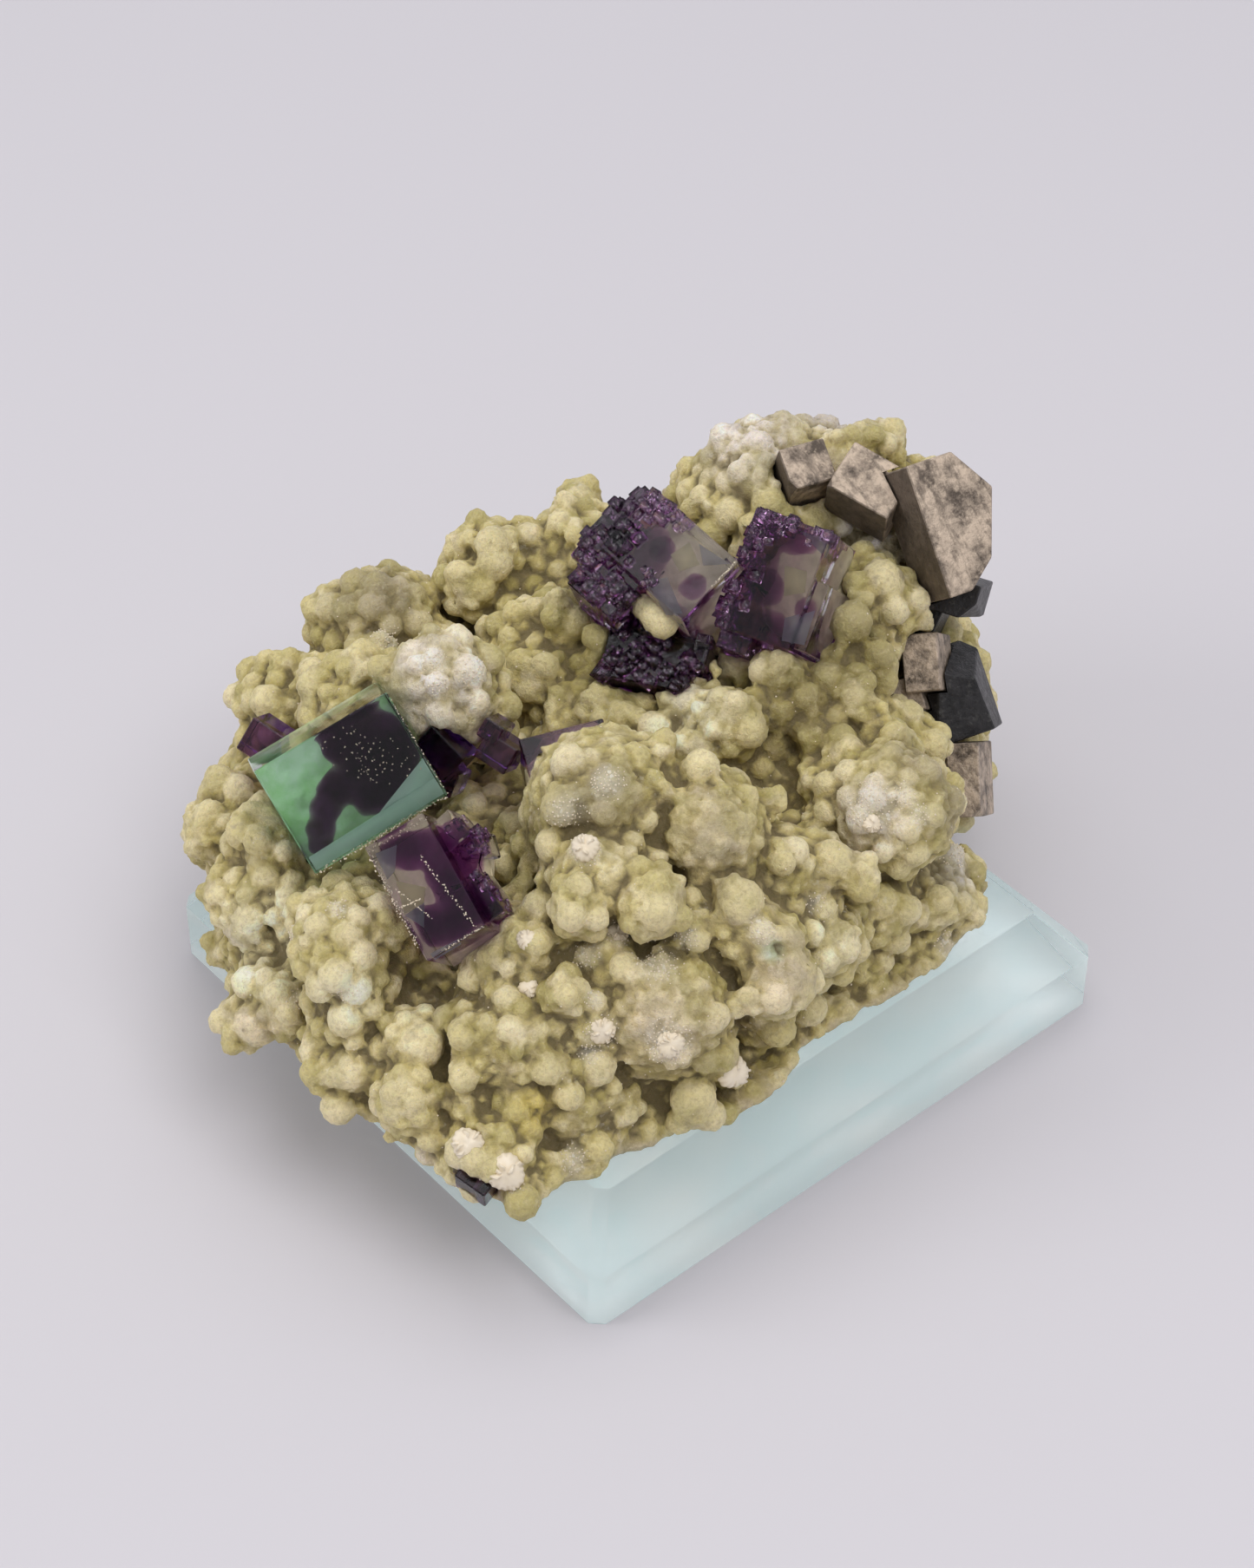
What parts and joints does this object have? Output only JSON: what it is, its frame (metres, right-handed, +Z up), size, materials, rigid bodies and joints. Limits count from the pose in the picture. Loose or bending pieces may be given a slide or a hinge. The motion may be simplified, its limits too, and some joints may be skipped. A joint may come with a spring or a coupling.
{
  "type": "fluorite on dolomite mineral specimen on a glass stand",
  "caption": "Lumpy olive-yellow dolomite rock with a clear green cubic crystal, purple crystals and bronze-grey metallic blocks, resting on a bevelled square glass stand.",
  "frame": {"origin": "centre of the glass stand's underside", "axes": "+Z up out of the stand, +X to the right along the stand's front side, +Y to its back; the straight broken edge of the rock faces -Y"},
  "size_m": [0.1108, 0.088, 0.0606],
  "materials": {
    "stand_glass": "polished clear glass with a faint blue-green tint",
    "dolomite": "finely crystalline, satin, with small sparkles",
    "green_fluorite": "clear crystal, flat glossy faces",
    "purple_fluorite": "clear to deep purple crystal, glossy faces",
    "dark_fluorite": "very dark purple crystal, glossy",
    "bronze_crystal": "bronze-grey metallic lustre, slightly worn",
    "black_crystal": "black, glassy to submetallic"
  },
  "bodies": {
    "root": {"glass_base": "stand_glass", "dolomite_matrix": "dolomite", "green_fluorite_cube": "green_fluorite", "purple_fluorite_front": "purple_fluorite", "purple_fluorite_upper_left": "purple_fluorite", "purple_fluorite_upper_right": "purple_fluorite", "purple_fluorite_small_1": "dark_fluorite", "purple_fluorite_small_2": "dark_fluorite", "purple_fluorite_small_3": "dark_fluorite", "purple_fluorite_small_4": "dark_fluorite", "purple_fluorite_small_5": "dark_fluorite", "bronze_crystal_main": "bronze_crystal", "bronze_crystal_second": "bronze_crystal", "bronze_crystal_third": "bronze_crystal", "bronze_crystal_lower": "bronze_crystal", "bronze_crystal_foot": "bronze_crystal", "black_crystal_right": "black_crystal", "black_crystal_upper": "black_crystal"}
  },
  "joints": []
}
